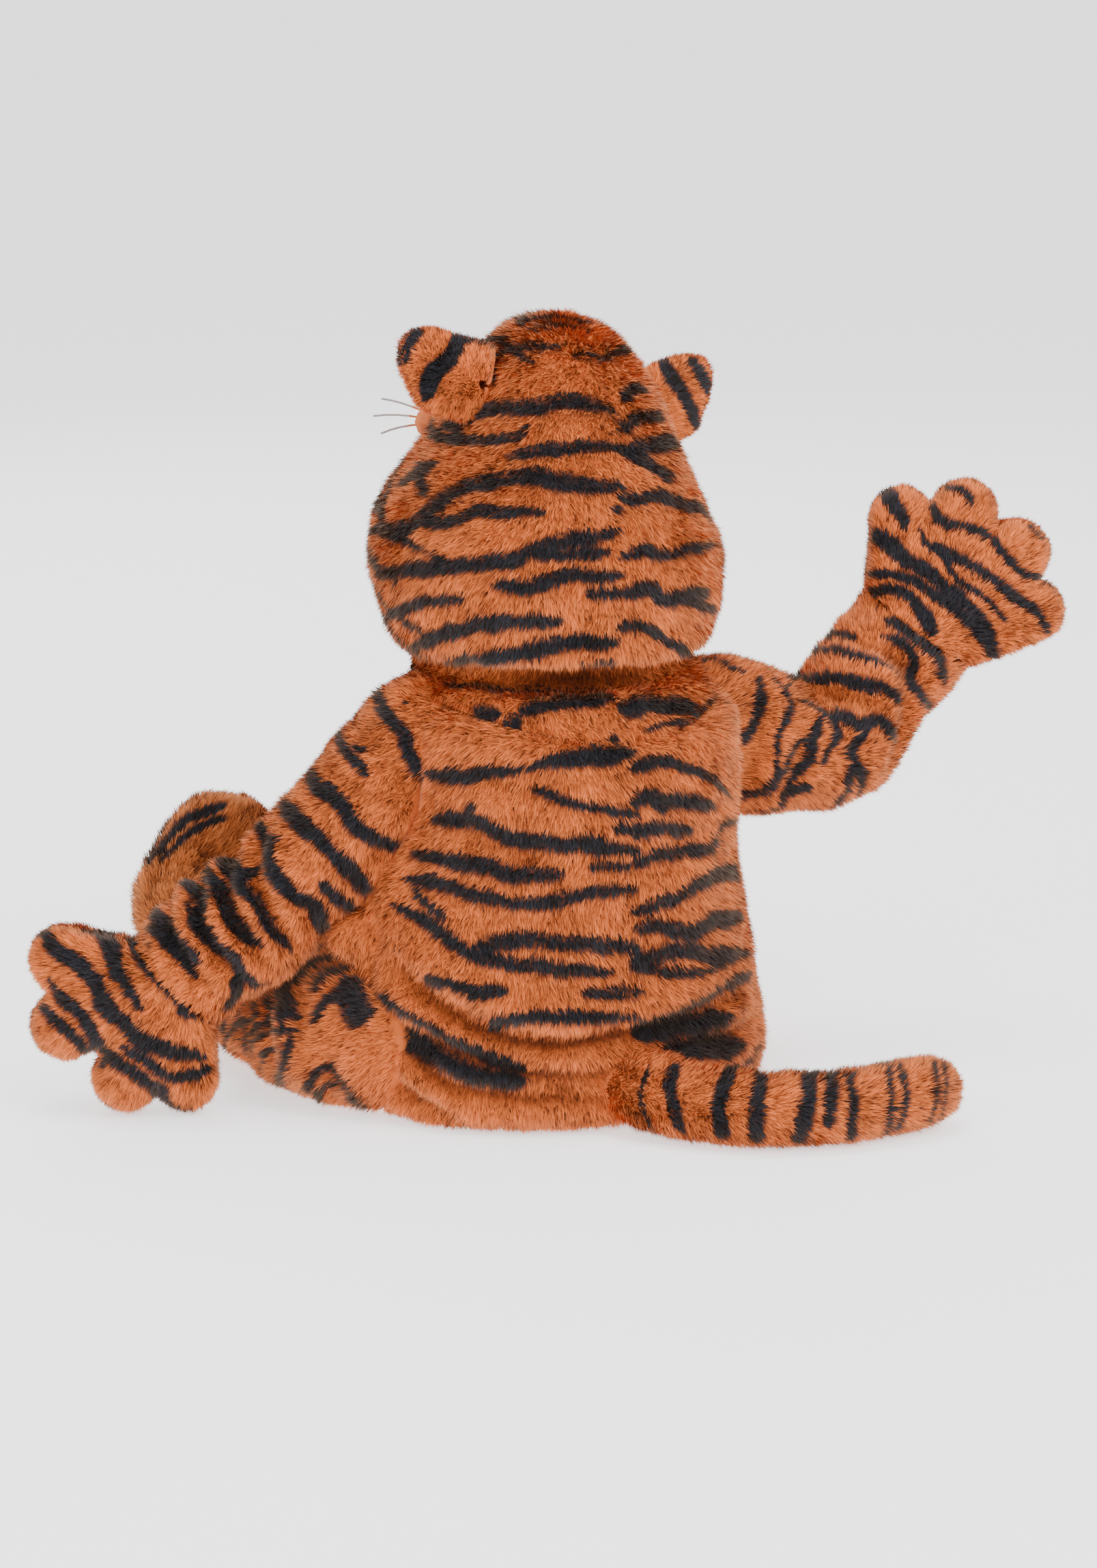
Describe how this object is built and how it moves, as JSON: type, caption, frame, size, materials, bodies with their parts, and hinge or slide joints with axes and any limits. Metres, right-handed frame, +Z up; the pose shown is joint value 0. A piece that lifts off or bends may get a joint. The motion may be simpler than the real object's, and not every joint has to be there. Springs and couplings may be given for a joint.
{
  "type": "baby tiger costume, a hooded plush jumpsuit kept in its worn form",
  "caption": "Hooded striped plush jumpsuit in a hollow seated pose, with ears, paw mitts, covered feet and a stuffed tail.",
  "frame": {"origin": "middle of the shoulders, where the wearer carries the garment, 250 mm above the ground that the wearer sits on", "axes": "+Z up, the front of the garment faces -Y, +X towards the wearer's left hand"},
  "size_m": [0.6416, 0.5714, 0.48],
  "materials": {
    "plush": "long pile orange plush with soft black stripes",
    "foot_plush": "rust plush",
    "whisker": "thin grey whisker yarn"
  },
  "bodies": {
    "root": {"back_left": "plush", "back_right": "plush", "front_left": "plush", "front_right": "plush", "sleeve_left": "plush", "sleeve_right": "plush", "mitt_left_back": "plush", "mitt_left_palm": "plush", "mitt_right_back": "plush", "mitt_right_palm": "plush", "leg_left": "plush", "leg_right": "plush", "foot_left_upper": "foot_plush", "foot_left_sole": "foot_plush", "foot_right_upper": "foot_plush", "foot_right_sole": "foot_plush", "hood_left": "plush", "hood_right": "plush", "ear_left_back": "plush", "ear_left_front": "plush", "ear_right_back": "plush", "ear_right_front": "plush", "whiskers_left": "whisker", "whiskers_right": "whisker", "tail": "plush"}
  },
  "joints": []
}
